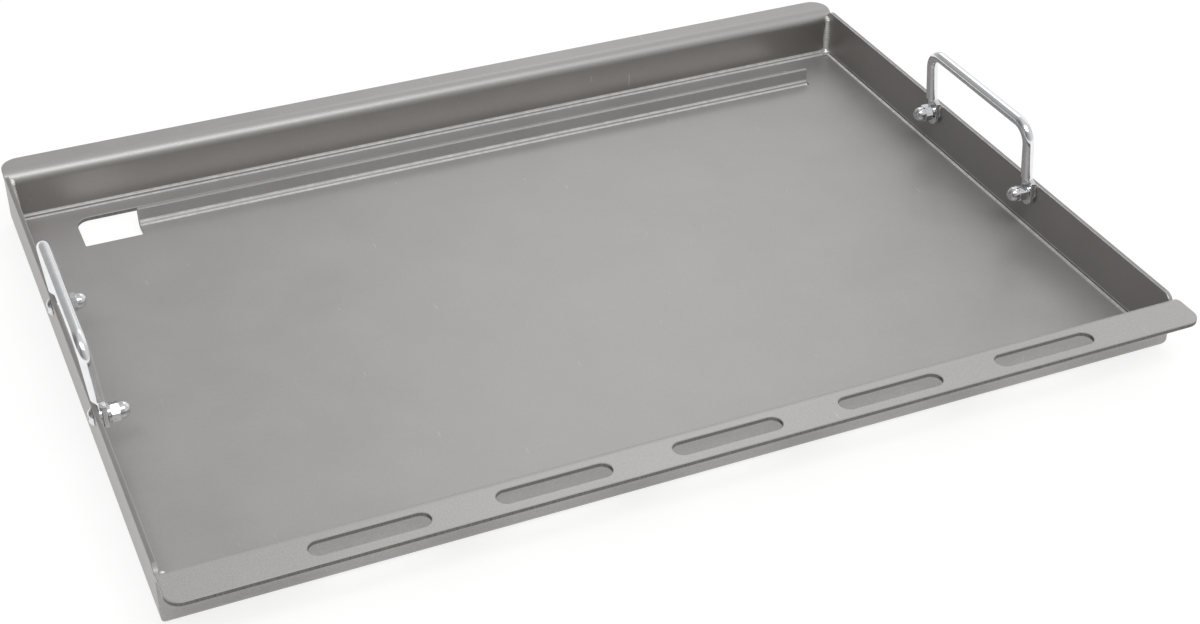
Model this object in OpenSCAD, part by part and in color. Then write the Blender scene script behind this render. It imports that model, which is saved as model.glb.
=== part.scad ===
// Camp griddle plate: a bent sheet steel cooking tray with a slotted front lip,
// a rear grease gutter with its fence and drain hole, and two bolted lift handles.
// Millimetres, +X to the right, +Y to the back, +Z up, standing on z = 0.

/* [Tray] */
// Outside width over the side walls
tray_w = 610; // [560:1:900]
// Outside depth from the front wall to the rear wall
tray_d = 418; // [300:1:600]
// Height of the walls
wall_h = 37; // [30:0.5:60]
// Thickness of the sheet
sheet_t = 3; // [2:0.1:5]
// Inside radius of the bends along the floor
floor_bend_r = 3; // [1:0.5:5]
// Inside radius of the bends under the lip and the flange
edge_bend_r = 6; // [3:0.5:10]
// Radius of the top corners at the ends of the side walls
wall_corner_r = 7; // [2:0.5:12]

/* [Front lip] */
// How far the lip stands out from the front wall
lip_d = 27; // [20:0.5:45]
// Radius of the lip's front corners
lip_corner_r = 9; // [2:0.5:15]
// Number of slots in the lip
slot_count = 5; // [1:1:6]
// Distance from slot to slot
slot_pitch = 100.5; // [70:0.5:120]
// Offset of the row of slots to the right of the middle
slot_shift = 2.5; // [-10:0.5:10]
// Length of a slot from end to end
slot_l = 65; // [30:1:68]
// Width of a slot
slot_w = 12; // [5:0.5:12]
// Distance of the slots' centre line from the lip's front edge
slot_edge = 12.2; // [9:0.1:20]

/* [Rear flange] */
// How far the flange stands out from the rear wall
flange_d = 18; // [12:0.5:40]
// Radius of the flange's rear corners
flange_corner_r = 12; // [2:0.5:16]

/* [Grease gutter] */
// Width of the gutter, from the fence to the rear wall
gutter_w = 37; // [30:1:60]
// Height of the fence above the floor's top face
fence_h = 11; // [6:0.5:25]
// Clear floor between the fence's right end and the right wall
fence_end_gap = 37; // [20:1:80]
// Floor left between the slot behind the fence and the rear wall
gutter_floor = 15; // [8:0.5:20]
// Clear floor between the left wall and the drain hole
drain_inset = 35; // [20:1:80]
// Width of the drain hole
drain_w = 37.5; // [20:0.5:70]
// How far the drain hole reaches in front of the fence
drain_reach = 13; // [6:0.5:30]
// Radius of the rear corners of the drain hole and the slot
drain_corner_r = 9; // [2:0.5:12]
// Relief cut at the fence's right end
fence_relief = 1; // [0.5:0.5:3]

/* [Handles] */
// Diameter of the handle rod
rod_d = 7.5; // [6:0.5:12]
// Distance between the legs of a handle
leg_span = 116; // [90:1:160]
// Place of the handles' middle, from the middle of the whole part
handle_y = -1.5; // [-30:0.5:30]
// Height of the rod's centre line in the grip
grip_z = 78; // [70:1:120]
// Bend radius of the rod's centre line at the top corners
grip_bend_r = 12; // [8:1:30]
// Lean of the legs from the paddles
handle_lean = 5; // [0:0.5:10]
// Thickness of the flattened paddles
paddle_t = 3; // [2:0.5:5]
// Width of the paddles
paddle_w = 11; // [10:0.5:16]
// How far a paddle reaches below its screw
paddle_drop = 9.5; // [7:0.5:14]
// Gap between the side wall's top edge and the rod above it
rod_gap = 0.5; // [0.3:0.1:3]

/* [Fasteners] */
// Distance of the screws below the wall's top edge
screw_drop = 6; // [5:0.5:15]
// Diameter of the screw's thread
screw_d = 6; // [4:0.5:8]
// Length of the screw under its head
screw_l = 16; // [14:0.5:25]
// Diameter of the button head
head_d = 10.5; // [9:0.5:16]
// Height of the button head
head_h = 3.3; // [2:0.1:5]
// Width across the flats of the socket in the head
socket_af = 4; // [2.5:0.5:6]
// Depth of the socket
socket_depth = 2; // [1:0.1:2.4]
// Outside diameter of the flat washers
washer_d = 12; // [10:0.5:18]
// Thickness of the flat washers
washer_t = 1.6; // [1:0.1:3]
// Outside diameter of the lock washers
lock_d = 11.2; // [9:0.1:16]
// Thickness of the lock washers
lock_t = 1.6; // [1:0.1:3]
// Width of the split in the lock washers
lock_split = 0.9; // [0.5:0.1:2]
// Width across the flats of the acorn nuts
nut_af = 10; // [8:0.5:13]
// Height of the hexagon of the acorn nuts
nut_hex_h = 5.5; // [3:0.1:8]
// Diameter of the nuts' dome
dome_d = 9.5; // [7.5:0.1:12]
// Height of the acorn nuts
nut_h = 12; // [10:0.5:18]
// Clearance of the screws in the holes they pass through
hole_gap = 0.3; // [0.1:0.05:1]
// Clearance of the screw's thread in its nut
thread_gap = 0.05; // [0.02:0.01:0.2]

/* [Welds] */
// Radius of a weld bead over its foot
bead_r = 2.4; // [1:0.1:4]
// Radius of a weld bead under its tip
bead_top_r = 1.9; // [1:0.1:4]
// Radius of the blob at a bead's foot
bead_foot_r = 3.2; // [1:0.1:5]
// Radius of the blob at a bead's tip
bead_tip_r = 2.2; // [1.5:0.1:4]
// Height of the tip's middle above the floor's top face
bead_h = 28; // [20:0.5:29]
// How far the bead's centre line stands in from each wall
bead_inset = 0.8; // [0:0.1:2]

/* [Hidden] */
$fn = 64;

// Reach of a cut past the face that it opens
cut = 1;
LEFT = -1;
RIGHT = 1;
FRONT = -1;
REAR = 1;

// The whole depth is centred on y = 0
overall_d = lip_d + tray_d + flange_d;
lip_y = -overall_d / 2;
front_y = lip_y + lip_d;
rear_y = front_y + tray_d;
flange_y = rear_y + flange_d;
tray_y = (front_y + rear_y) / 2;
inner_w = tray_w - 2 * sheet_t;
inner_d = tray_d - 2 * sheet_t;
inner_rear_y = rear_y - sheet_t;
inner_front_y = front_y + sheet_t;
floor_outer_r = floor_bend_r + sheet_t;
edge_outer_r = edge_bend_r + sheet_t;
// Height at which the front and rear walls start to bend outwards
edge_z = wall_h - edge_outer_r;

// The fence stands on the front edge of the gutter
fence_y = inner_rear_y - gutter_w;
fence_root_y = fence_y - floor_bend_r;
gutter_slot_y = inner_rear_y - gutter_floor;
drain_x = -inner_w / 2 + drain_inset;
fence_x = drain_x + drain_w;
fence_end_x = inner_w / 2 - fence_end_gap;
slot_y = lip_y + slot_edge;

// Along X, a screw's stack is the wall, flat washer, paddle, lock washer and nut
screw_z = wall_h - screw_drop;
hole_d = screw_d + 2 * hole_gap;
nut_bore_d = screw_d + 2 * thread_gap;
paddle_near = washer_t;
lock_near = paddle_near + paddle_t;
nut_near = lock_near + lock_t;
screw_reach = screw_l - sheet_t;
nut_bore_depth = screw_reach - nut_near + screw_d / 4;
hex_r = nut_af / 2 / cos(30);
// A spherical cap of the head's diameter and height
head_sphere_r = (head_d * head_d / 4 + head_h * head_h) / (2 * head_h);

// The rod's rounded end stands over the wall's top edge
rod_end_z = wall_h + rod_gap + rod_d / 2;
leg_l = (grip_z - rod_end_z) / cos(handle_lean);
paddle_neck_z = rod_end_z - rod_d / 4;
paddle_tip_z = rod_end_z + rod_d / 2;

steel = "#8b8987";
weld_steel = "#b4b2af";
chrome = "#d6d9dc";
zinc = "#c4c7ca";

// A plan or end outline: square at the top, round at the two bottom corners
module round_bottom(w, h, r) {
    translate([-w / 2, r]) square([w, h - r]);
    translate([-w / 2 + r, 0]) square([w - 2 * r, h]);
    for (side = [LEFT, RIGHT])
        translate([side * (w / 2 - r), r]) circle(r);
}

// A box with round bottom edges, centred on the tray, its floor at z
module tray_box(w, d, h, r, z) {
    translate([0, tray_y, z]) intersection() {
        translate([0, d / 2, 0]) rotate([90, 0, 0]) linear_extrude(d) round_bottom(w, h, r);
        translate([-w / 2, 0, 0]) rotate([90, 0, 90]) linear_extrude(w) round_bottom(d, h, r);
    }
}

// The hollow inside the walls, open at the top
module tray_inside() {
    tray_box(inner_w, inner_d, wall_h, floor_bend_r, sheet_t);
}

// A quarter ring of sheet in the first quadrant
module quarter_bend(r) {
    intersection() {
        difference() {
            circle(r + sheet_t);
            circle(r);
        }
        square(r + sheet_t);
    }
}

// End profile of a wall's edge, bent outwards: x runs outwards from the wall's inner face
module edge_profile(reach) {
    translate([edge_outer_r, edge_z]) mirror([1, 0]) quarter_bend(edge_bend_r);
    translate([edge_outer_r, wall_h - sheet_t]) square([reach + sheet_t - edge_outer_r, sheet_t]);
    translate([0, edge_z - sheet_t]) square([sheet_t, sheet_t]);
}

// Plan of an edge: y runs outwards from the wall's inner face, with two round corners
module edge_plan(reach, r) {
    l = reach + sheet_t;
    translate([-tray_w / 2, 0]) square([tray_w, l - r]);
    translate([-tray_w / 2 + r, 0]) square([tray_w - 2 * r, l]);
    for (side = [LEFT, RIGHT])
        translate([side * (tray_w / 2 - r), l - r]) circle(r);
}

// The bent edge on the rear wall, or mirrored on the front wall
module bent_edge(reach, r, wall_y, end) {
    translate([0, wall_y, 0]) mirror([0, end == FRONT ? 1 : 0, 0]) intersection() {
        translate([-tray_w / 2, 0, 0]) rotate([90, 0, 90]) linear_extrude(tray_w) edge_profile(reach);
        linear_extrude(wall_h) edge_plan(reach, r);
    }
}

// What the round top corners take off the ends of the side walls
module wall_corner_cut(end) {
    outer_y = end == FRONT ? front_y : rear_y;
    translate([-tray_w / 2 - cut, outer_y - end * wall_corner_r, wall_h - wall_corner_r])
        mirror([0, end == FRONT ? 1 : 0, 0]) rotate([90, 0, 90]) linear_extrude(tray_w + 2 * cut)
            difference() {
                square(wall_corner_r + cut);
                circle(wall_corner_r);
            }
}

// What the bends take off the tops of the front and rear walls, between the side walls
module wall_top_cut(end) {
    y = end == FRONT ? front_y - cut : inner_rear_y;
    translate([-inner_w / 2, y, edge_z]) cube([inner_w, sheet_t + cut, edge_outer_r + cut]);
}

module lip_slot() {
    run = slot_l - slot_w;
    translate([-run / 2, -slot_w / 2]) square([run, slot_w]);
    for (side = [LEFT, RIGHT])
        translate([side * run / 2, 0]) circle(d = slot_w);
}

module lip_slots() {
    for (i = [0 : slot_count - 1])
        translate([slot_shift + (i - (slot_count - 1) / 2) * slot_pitch, slot_y, wall_h - sheet_t - cut])
            linear_extrude(sheet_t + 2 * cut) lip_slot();
}

// Plan of the drain hole and of the slot behind the fence, as one opening
module gutter_opening() {
    left = drain_x;
    right = fence_end_x + fence_relief;
    r = drain_corner_r;
    translate([left, fence_y - drain_reach]) square([drain_w, drain_reach]);
    translate([left, fence_root_y]) square([right - left, gutter_slot_y - r - fence_root_y]);
    translate([left + r, fence_root_y]) square([right - left - 2 * r, gutter_slot_y - fence_root_y]);
    for (x = [left + r, right - r])
        translate([x, gutter_slot_y - r]) circle(r);
}

// End profile of the fence, bent up from the floor: x runs to the back from its root
module fence_profile() {
    translate([-sheet_t, 0]) square([sheet_t, sheet_t]);
    translate([0, floor_outer_r]) mirror([0, 1]) quarter_bend(floor_bend_r);
    translate([floor_bend_r, floor_outer_r]) square([sheet_t, fence_h - floor_bend_r]);
}

module fence() {
    translate([fence_x, fence_root_y, 0]) rotate([90, 0, 90])
        linear_extrude(fence_end_x - fence_x) fence_profile();
}

// A place on a side wall's inner face, with +X pointing into the tray
module at_screw(side, end) {
    translate([side * inner_w / 2, handle_y + end * leg_span / 2, screw_z])
        mirror([side == RIGHT ? 1 : 0, 0, 0]) children();
}

module griddle_plate() {
    color(steel) {
        difference() {
            union() {
                difference() {
                    tray_box(tray_w, tray_d, wall_h, floor_outer_r, 0);
                    tray_inside();
                    for (end = [FRONT, REAR]) {
                        wall_top_cut(end);
                        wall_corner_cut(end);
                    }
                    translate([0, 0, -cut]) linear_extrude(sheet_t + 2 * cut) gutter_opening();
                }
                bent_edge(lip_d, lip_corner_r, inner_front_y, FRONT);
                bent_edge(flange_d, flange_corner_r, inner_rear_y, REAR);
                fence();
            }
            lip_slots();
            for (side = [LEFT, RIGHT], end = [FRONT, REAR])
                at_screw(side, end) translate([-sheet_t - cut, 0, 0]) rotate([0, 90, 0])
                    cylinder(d = hole_d, h = sheet_t + 2 * cut);
        }
    }
}

// The hollow over the bend of the front or rear wall, between the side walls
module bend_inside(end) {
    y = end == FRONT ? inner_front_y : inner_rear_y;
    translate([-inner_w / 2, y, edge_z]) mirror([0, end == FRONT ? 1 : 0, 0]) difference() {
        cube([inner_w, edge_outer_r, edge_outer_r]);
        translate([-cut, edge_outer_r, 0]) rotate([0, 90, 0])
            cylinder(r = edge_outer_r, h = inner_w + 2 * cut);
    }
}

// A bead up an inside corner, with a blob at its foot and its tip, cut to the walls it joins
module weld(side, end) {
    x = side * (inner_w / 2 - bead_inset);
    y = (end == FRONT ? inner_front_y : inner_rear_y) - end * bead_inset;
    color(weld_steel) intersection() {
        translate([x, y, sheet_t]) {
            cylinder(r1 = bead_r, r2 = bead_top_r, h = bead_h);
            translate([0, 0, bead_foot_r / 2]) sphere(bead_foot_r);
            translate([0, 0, bead_h]) sphere(bead_tip_r);
        }
        union() {
            tray_inside();
            bend_inside(end);
        }
    }
}

// The bent rod, its legs' lower ends at z = 0
module handle_rod() {
    corner_y = leg_span / 2 - grip_bend_r;
    for (end = [FRONT, REAR]) {
        translate([0, end * leg_span / 2, 0]) sphere(d = rod_d);
        translate([0, end * leg_span / 2, 0]) cylinder(d = rod_d, h = leg_l - grip_bend_r);
        translate([0, end * corner_y, leg_l - grip_bend_r]) mirror([0, end == FRONT ? 1 : 0, 0])
            rotate([90, 0, 90]) rotate_extrude(angle = 90) translate([grip_bend_r, 0]) circle(d = rod_d);
    }
    translate([0, corner_y, leg_l]) rotate([90, 0, 0]) cylinder(d = rod_d, h = 2 * corner_y);
}

// Outline of a paddle: x along Y, y up from the screw
module paddle_outline() {
    neck = paddle_neck_z - screw_z;
    tip = paddle_tip_z - screw_z;
    foot = paddle_drop - paddle_w / 2;
    translate([0, -foot]) circle(d = paddle_w);
    translate([-paddle_w / 2, -foot]) square([paddle_w, foot + neck]);
    polygon([[-paddle_w / 2, neck], [paddle_w / 2, neck], [paddle_t / 2, tip], [-paddle_t / 2, tip]]);
}

// Both handles are the same piece, turned the same way: the paddles lie on the rod's right side
module handle(side) {
    near = side * (inner_w / 2 - paddle_near);
    right_face = side == RIGHT ? near : near + paddle_t;
    color(chrome) difference() {
        union() {
            translate([right_face - rod_d / 2, handle_y, rod_end_z])
                rotate([0, -handle_lean, 0]) handle_rod();
            for (end = [FRONT, REAR])
                translate([right_face - paddle_t, handle_y + end * leg_span / 2, screw_z])
                    rotate([90, 0, 90]) linear_extrude(paddle_t) paddle_outline();
        }
        for (end = [FRONT, REAR])
            at_screw(side, end) rotate([0, 90, 0]) cylinder(d = hole_d, h = nut_near + cut);
    }
}

module screw(side, end) {
    color(zinc) at_screw(side, end) rotate([0, 90, 0]) difference() {
        union() {
            translate([0, 0, -sheet_t]) cylinder(d = screw_d, h = screw_l);
            intersection() {
                translate([0, 0, -sheet_t - head_h + head_sphere_r]) sphere(head_sphere_r);
                translate([0, 0, -sheet_t - head_h]) cylinder(d = head_d, h = head_h);
            }
        }
        translate([0, 0, -sheet_t - head_h - cut])
            cylinder(d = socket_af / cos(30), h = socket_depth + cut, $fn = 6);
    }
}

module washer(side, end) {
    color(zinc) at_screw(side, end) rotate([0, 90, 0]) difference() {
        cylinder(d = washer_d, h = washer_t);
        translate([0, 0, -cut]) cylinder(d = hole_d, h = washer_t + 2 * cut);
    }
}

module lock_washer(side, end) {
    color(zinc) at_screw(side, end) translate([lock_near, 0, 0]) rotate([0, 90, 0]) difference() {
        cylinder(d = lock_d, h = lock_t);
        translate([0, 0, -cut]) cylinder(d = hole_d, h = lock_t + 2 * cut);
        translate([0, -lock_split / 2, -cut]) cube([lock_d, lock_split, lock_t + 2 * cut]);
    }
}

module nut(side, end) {
    color(zinc) at_screw(side, end) translate([nut_near, 0, 0]) rotate([0, 90, 0]) difference() {
        union() {
            cylinder(r = hex_r, h = nut_hex_h, $fn = 6);
            cylinder(d = dome_d, h = nut_h - dome_d / 2);
            translate([0, 0, nut_h - dome_d / 2]) sphere(d = dome_d);
        }
        translate([0, 0, -cut]) cylinder(d = nut_bore_d, h = nut_bore_depth + cut);
    }
}

griddle_plate();
weld(LEFT, FRONT);  // front_left_weld
weld(RIGHT, FRONT);  // front_right_weld
weld(LEFT, REAR);  // rear_left_weld
weld(RIGHT, REAR);  // rear_right_weld
handle(LEFT);  // left_handle
handle(RIGHT);  // right_handle
screw(LEFT, FRONT);  // left_front_screw
screw(LEFT, REAR);  // left_rear_screw
screw(RIGHT, FRONT);  // right_front_screw
screw(RIGHT, REAR);  // right_rear_screw
washer(LEFT, FRONT);  // left_front_washer
washer(LEFT, REAR);  // left_rear_washer
washer(RIGHT, FRONT);  // right_front_washer
washer(RIGHT, REAR);  // right_rear_washer
lock_washer(LEFT, FRONT);  // left_front_lock_washer
lock_washer(LEFT, REAR);  // left_rear_lock_washer
lock_washer(RIGHT, FRONT);  // right_front_lock_washer
lock_washer(RIGHT, REAR);  // right_rear_lock_washer
nut(LEFT, FRONT);  // left_front_nut
nut(LEFT, REAR);  // left_rear_nut
nut(RIGHT, FRONT);  // right_front_nut
nut(RIGHT, REAR);  // right_rear_nut
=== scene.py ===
import math
from collections import namedtuple

import bmesh
import bpy
from mathutils import Euler, Matrix, Vector


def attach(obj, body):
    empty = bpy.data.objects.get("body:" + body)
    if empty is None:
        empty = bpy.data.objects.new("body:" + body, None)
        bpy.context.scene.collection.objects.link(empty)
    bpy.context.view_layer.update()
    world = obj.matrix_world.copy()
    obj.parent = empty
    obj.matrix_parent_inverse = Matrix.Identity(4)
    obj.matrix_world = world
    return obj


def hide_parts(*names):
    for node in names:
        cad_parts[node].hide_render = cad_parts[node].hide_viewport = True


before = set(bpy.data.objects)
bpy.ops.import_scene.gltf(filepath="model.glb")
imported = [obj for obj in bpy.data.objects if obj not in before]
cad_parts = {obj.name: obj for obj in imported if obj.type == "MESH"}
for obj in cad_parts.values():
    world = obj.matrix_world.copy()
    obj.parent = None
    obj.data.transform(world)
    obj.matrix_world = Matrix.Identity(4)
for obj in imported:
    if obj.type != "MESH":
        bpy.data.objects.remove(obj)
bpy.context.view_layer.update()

# Looks of a camp griddle plate: a bent and welded tray of bare steel, two chrome
# plated lift handles, and the plated screws, washers and acorn nuts that hold them.
# Sizes are in millimetres in the part's own frame: +X right, +Y back, +Z up.
MM = 0.001

# The tray, as the part's source has it
SHEET = 3.0
WALL_TOP = 37.0
INNER_X = 302.0
INNER_FRONT = -201.5
INNER_REAR = 210.5
FENCE_TOP = 14.0
FLOOR_BEND_R = 3.0
EDGE_BEND_R = 9.0
EDGE_BEND_START = WALL_TOP - EDGE_BEND_R

# The handles and their fasteners
LEG_SPAN = 116.0
HANDLE_Y = -1.5
SCREW_Z = 31.0
WASHER_T = 1.6
PADDLE_T = 3.0
LOCK_T = 1.6
ROD_D = 7.5


def linear(code):
    """A linear colour from an sRGB hex value."""
    parts = [int(code[i:i + 2], 16) / 255 for i in (1, 3, 5)]
    light = [p / 12.92 if p <= 0.04045 else ((p + 0.055) / 1.055) ** 2.4 for p in parts]
    return (*light, 1.0)


def per_mm(size):
    """The scale at which a pattern on Object coordinates, in metres, repeats every size mm."""
    return 1 / (size * MM)


def add(tree, kind, inputs=(), **settings):
    """One node with its settings; an input takes a value or another node's socket."""
    made = tree.nodes.new(kind)
    for name, value in settings.items():
        setattr(made, name, value)
    for key, value in dict(inputs).items():
        if isinstance(value, bpy.types.NodeSocket):
            tree.links.new(value, made.inputs[key])
        else:
            made.inputs[key].default_value = value
    return made


def surface(name, **constants):
    """A material with a Principled surface: its tree, its shader and its Object coordinates."""
    material = bpy.data.materials.new(name)
    material.use_nodes = True
    tree = material.node_tree
    shader = tree.nodes["Principled BSDF"]
    for socket, value in constants.items():
        shader.inputs[socket].default_value = value
    place = add(tree, "ShaderNodeTexCoord").outputs["Object"]
    return material, tree, shader, place


def stops(ramp, *pairs):
    """Sets a colour ramp's stops from pairs of place and hex value."""
    elements = ramp.color_ramp.elements
    while len(elements) < len(pairs):
        elements.new(0.5)
    for element, (spot, code) in zip(elements, pairs):
        element.position = spot
        element.color = linear(code)
    return ramp


# Materials

# The oxide film on the sheet scatters light, least on the front and rear walls
SHEET_METALLIC = 0.40
WALL_METALLIC = 0.82
SIDE_METALLIC = 0.70
BEND_METALLIC = 0.62

# The sheet's real grain is about 0.1 mm; it is drawn at about 1 mm so that it shows
GRAIN = 1.3
FINE_GRAIN = 0.9
# How much of the tone is grain and not cloud: inside the tray, and where grain shows most
GRAIN_SHARE = 0.4
PLAIN_GRAIN_SHARE = 0.85

# Marks from handling run front to back: the peaks of noises that are stretched to this
# width and length, two of them, turned by these radians so that they differ
MARK_W = 0.8
MARK_L = 14
MARK_TURNS = (0.35, 1.9)

# Nearly all of a noise lies between these values
NOISE_LOW = 0.3
NOISE_HIGH = 0.7


def cold_rolled_steel(name, dark, light, metallic, grain_size=GRAIN, grain_share=GRAIN_SHARE):
    # Cold rolled steel sheet, bare: a warm grey satin with a fine even grain, soft clouds
    # from the rolls and a few short marks from handling. Its thin oxide film scatters a
    # good part of the light, so Metallic is below 1 and the tray's corners stay open.
    material, tree, shader, place = surface(name, Metallic=metallic)
    clouds = add(tree, "ShaderNodeTexNoise",
                 {"Vector": place, "Scale": per_mm(55), "Detail": 4.0, "Roughness": 0.55})
    grain = add(tree, "ShaderNodeTexNoise",
                {"Vector": place, "Scale": per_mm(grain_size), "Detail": 2.0, "Roughness": 0.6})
    tone = add(tree, "ShaderNodeMix",
               {"Factor": grain_share, "A": clouds.outputs[0], "B": grain.outputs[0]})
    colour = stops(add(tree, "ShaderNodeValToRGB", {"Fac": tone.outputs[0]}),
                   (0.32, dark), (0.68, light))
    marks = []
    for turn in MARK_TURNS:
        lay = add(tree, "ShaderNodeMapping",
                  {"Vector": place, "Rotation": (0, 0, turn),
                   "Scale": (per_mm(MARK_W), per_mm(MARK_L), per_mm(MARK_L))})
        streak = add(tree, "ShaderNodeTexNoise",
                     {"Vector": lay.outputs[0], "Scale": 1.0, "Detail": 0.0})
        marks.append(add(tree, "ShaderNodeMapRange",
                         {"Value": streak.outputs[0], "From Min": 0.875, "From Max": 0.9}))
    mark = add(tree, "ShaderNodeMath", {0: marks[0].outputs[0], 1: marks[1].outputs[0]},
               operation="MAXIMUM")
    # Sockets 6 and 7 are the two colours of a mix
    marked = add(tree, "ShaderNodeMix",
                 {"Factor": mark.outputs[0], 6: colour.outputs[0], 7: linear("#c9c7c4")},
                 data_type="RGBA")
    matt = add(tree, "ShaderNodeMapRange",
               {"Value": tone.outputs[0], "From Min": NOISE_LOW, "From Max": NOISE_HIGH,
                "To Min": 0.38, "To Max": 0.45})
    height = add(tree, "ShaderNodeMath",
                 {0: mark.outputs[0], 1: -1.5, 2: grain.outputs[0]},
                 operation="MULTIPLY_ADD")
    relief = add(tree, "ShaderNodeBump",
                 {"Strength": 0.25, "Distance": 0.02 * MM, "Height": height.outputs[0]})
    tree.links.new(marked.outputs[2], shader.inputs["Base Color"])
    tree.links.new(matt.outputs[0], shader.inputs["Roughness"])
    tree.links.new(relief.outputs[0], shader.inputs["Normal"])
    return material


def highlighted_bent_edge_steel(name, wall, crest, flat):
    # The sheet where it bends out at the top of a wall: the wall's tone at the foot of the
    # bend, a lighter tone on the crest that is a painted highlight, and the flat's own tone
    # where it ends.
    material, tree, shader, place = surface(name, Roughness=0.41)
    spot = add(tree, "ShaderNodeSeparateXYZ", {"Vector": place})
    climb = add(tree, "ShaderNodeMapRange",
                {"Value": spot.outputs["Z"], "From Min": EDGE_BEND_START * MM,
                 "From Max": WALL_TOP * MM})
    tone = stops(add(tree, "ShaderNodeValToRGB", {"Fac": climb.outputs[0]}),
                 (0.0, wall), (0.72, crest), (1.0, flat))
    metal = add(tree, "ShaderNodeMapRange",
                {"Value": climb.outputs[0], "From Min": 0.5, "From Max": 1.0,
                 "To Min": WALL_METALLIC, "To Max": SHEET_METALLIC})
    grain = add(tree, "ShaderNodeTexNoise",
                {"Vector": place, "Scale": per_mm(FINE_GRAIN), "Detail": 2.0, "Roughness": 0.6})
    speck = add(tree, "ShaderNodeMapRange",
                {"Value": grain.outputs[0], "From Min": NOISE_LOW, "From Max": NOISE_HIGH,
                 "To Min": 0.95, "To Max": 1.05})
    colour = add(tree, "ShaderNodeVectorMath",
                 {0: tone.outputs[0], "Scale": speck.outputs[0]}, operation="SCALE")
    tree.links.new(colour.outputs[0], shader.inputs["Base Color"])
    tree.links.new(metal.outputs[0], shader.inputs["Metallic"])
    return material


def laser_cut_edge():
    # The sheet's laser cut edge: a darker, duller grey, with fine lines across its thickness.
    material, tree, shader, place = surface("steel_laser_cut_edge", Metallic=1.0, Roughness=0.5)
    # The real lines are 0.2 mm apart; they are drawn at 0.9 mm so that they show
    lay = add(tree, "ShaderNodeMapping",
              {"Vector": place, "Scale": (per_mm(0.9), per_mm(0.9), per_mm(9))})
    lines = add(tree, "ShaderNodeTexNoise",
                {"Vector": lay.outputs[0], "Scale": 1.0, "Detail": 2.0})
    colour = stops(add(tree, "ShaderNodeValToRGB", {"Fac": lines.outputs[0]}),
                   (NOISE_LOW, "#64615e"), (NOISE_HIGH, "#7c7976"))
    relief = add(tree, "ShaderNodeBump",
                 {"Strength": 0.5, "Distance": 0.03 * MM, "Height": lines.outputs[0]})
    tree.links.new(colour.outputs[0], shader.inputs["Base Color"])
    tree.links.new(relief.outputs[0], shader.inputs["Normal"])
    return material


def burnished_edge_and_highlight():
    # The broken arris of a cut edge, burnished by the deburring wheel and by hands, and made
    # brighter still as a painted highlight.
    material, tree, shader, place = surface("steel_deburred_edge_and_painted_highlight", Metallic=1.0)
    rub = add(tree, "ShaderNodeTexNoise",
              {"Vector": place, "Scale": per_mm(6), "Detail": 3.0})
    colour = stops(add(tree, "ShaderNodeValToRGB", {"Fac": rub.outputs[0]}),
                   (NOISE_LOW, "#bcbab8"), (NOISE_HIGH, "#d4d2d0"))
    matt = add(tree, "ShaderNodeMapRange",
               {"Value": rub.outputs[0], "From Min": NOISE_LOW, "From Max": NOISE_HIGH,
                "To Min": 0.36, "To Max": 0.24})
    tree.links.new(colour.outputs[0], shader.inputs["Base Color"])
    tree.links.new(matt.outputs[0], shader.inputs["Roughness"])
    return material


def bend_highlight_line():
    # A painted highlight: a near white line along an inside bend, where the bend catches the
    # light, scattering widely.
    material, tree, shader, place = surface("steel_bend_painted_highlight", Metallic=0.4,
                                            Roughness=0.42)
    rub = add(tree, "ShaderNodeTexNoise",
              {"Vector": place, "Scale": per_mm(4), "Detail": 3.0})
    colour = stops(add(tree, "ShaderNodeValToRGB", {"Fac": rub.outputs[0]}),
                   (NOISE_LOW, "#d6d5d4"), (NOISE_HIGH, "#f0efee"))
    tree.links.new(colour.outputs[0], shader.inputs["Base Color"])
    return material


def weld_metal():
    # Arc weld metal, wire brushed: brighter than the sheet, as its many fine scratches
    # scatter the light, glossy in spots and faintly straw coloured between them.
    material, tree, shader, place = surface("steel_weld_metal_brushed", Metallic=0.45)
    spots = add(tree, "ShaderNodeTexNoise",
                {"Vector": place, "Scale": per_mm(2.2), "Detail": 3.0})
    colour = stops(add(tree, "ShaderNodeValToRGB", {"Fac": spots.outputs[0]}),
                   (NOISE_LOW, "#d2cfca"), (0.6, "#f1f0ee"))
    matt = add(tree, "ShaderNodeMapRange",
               {"Value": spots.outputs[0], "From Min": NOISE_LOW, "From Max": NOISE_HIGH,
                "To Min": 0.36, "To Max": 0.22})
    relief = add(tree, "ShaderNodeBump",
                 {"Strength": 0.3, "Distance": 0.05 * MM, "Height": spots.outputs[0]})
    tree.links.new(colour.outputs[0], shader.inputs["Base Color"])
    tree.links.new(matt.outputs[0], shader.inputs["Roughness"])
    tree.links.new(relief.outputs[0], shader.inputs["Normal"])
    return material


def chrome_plate():
    # Bright chrome plate on drawn steel rod: a cool mirror, very slightly uneven where the
    # rod was polished, and a little duller in patches from handling.
    material, tree, shader, place = surface("chrome_plated_steel_rod", Metallic=1.0)
    patches = add(tree, "ShaderNodeTexNoise",
                  {"Vector": place, "Scale": per_mm(9), "Detail": 3.0})
    colour = stops(add(tree, "ShaderNodeValToRGB", {"Fac": patches.outputs[0]}),
                   (NOISE_LOW, "#e6e8ea"), (NOISE_HIGH, "#f0f1f2"))
    matt = add(tree, "ShaderNodeMapRange",
               {"Value": patches.outputs[0], "From Min": NOISE_LOW, "From Max": NOISE_HIGH,
                "To Min": 0.18, "To Max": 0.12})
    relief = add(tree, "ShaderNodeBump",
                 {"Strength": 0.2, "Distance": 0.02 * MM, "Height": patches.outputs[0]})
    tree.links.new(colour.outputs[0], shader.inputs["Base Color"])
    tree.links.new(matt.outputs[0], shader.inputs["Roughness"])
    tree.links.new(relief.outputs[0], shader.inputs["Normal"])
    return material


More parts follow.
